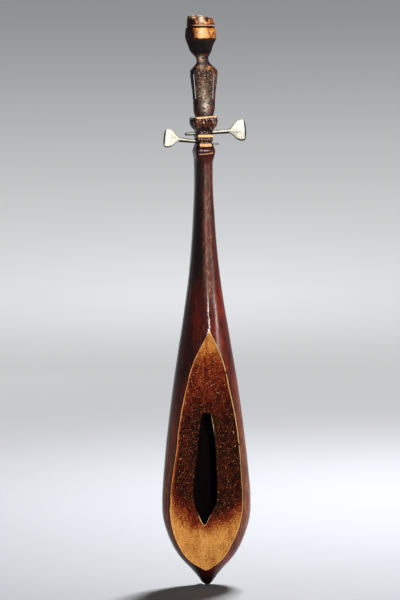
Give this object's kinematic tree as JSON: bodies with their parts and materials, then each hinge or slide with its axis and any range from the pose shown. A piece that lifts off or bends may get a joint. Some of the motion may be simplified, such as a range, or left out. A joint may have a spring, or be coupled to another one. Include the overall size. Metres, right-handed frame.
{
  "type": "two-string boat lute",
  "caption": "Slender carved boat lute with a leaf-shaped scooped back, narrow sound hole, metal tuning pegs and a standing figure at the head.",
  "frame": {"origin": "middle of the small flat at the tail tip", "axes": "+Z along the lute from the tail tip to the figure's crown, -Y out of the carved back, +Y out of the soundboard, +X towards the upper peg's spade head"},
  "size_m": [0.1094, 0.0496, 0.6998],
  "materials": {
    "dark_wood": "polished dark red-brown hardwood, rubbed bare to tan on the scooped back",
    "figure_wood": "handled dark red-brown wood with tan high spots",
    "board_wood": "thin aged board, satin",
    "pale_wood": "bare bamboo and light wood",
    "hard_wood": "dark hard wood, satin",
    "peg_metal": "pale cast and hammered metal, dull",
    "string_metal": "plain wire"
  },
  "bodies": {
    "lute": {"body_and_neck": "dark_wood", "finial_figure": "figure_wood", "soundboard": "board_wood", "soundboard_pin_1": "pale_wood", "soundboard_pin_2": "pale_wood", "soundboard_pin_3": "pale_wood", "soundboard_pin_4": "pale_wood", "soundboard_pin_5": "pale_wood", "soundboard_pin_6": "pale_wood", "soundboard_pin_7": "pale_wood", "soundboard_pin_8": "pale_wood", "bridge": "pale_wood", "nut": "hard_wood", "fret_1": "pale_wood", "fret_2": "pale_wood", "fret_3": "pale_wood", "fret_4": "pale_wood", "fret_5": "pale_wood", "tail_pin": "hard_wood", "melody_string": "string_metal", "drone_string": "string_metal"},
    "upper_peg": {"upper_tuning_peg": "peg_metal", "melody_winding": "string_metal"},
    "lower_peg": {"lower_tuning_peg": "peg_metal", "drone_winding": "string_metal"}
  },
  "joints": [
    {"name": "upper_peg_turn", "type": "hinge", "parent": "lute", "child": "upper_peg", "pos_m": [0, 0, 0.5548], "axis": [0.9979, 0, 0.0645], "continuous": true},
    {"name": "lower_peg_turn", "type": "hinge", "parent": "lute", "child": "lower_peg", "pos_m": [0, 0, 0.5434], "axis": [-0.9932, 0, 0.1167], "continuous": true}
  ]
}
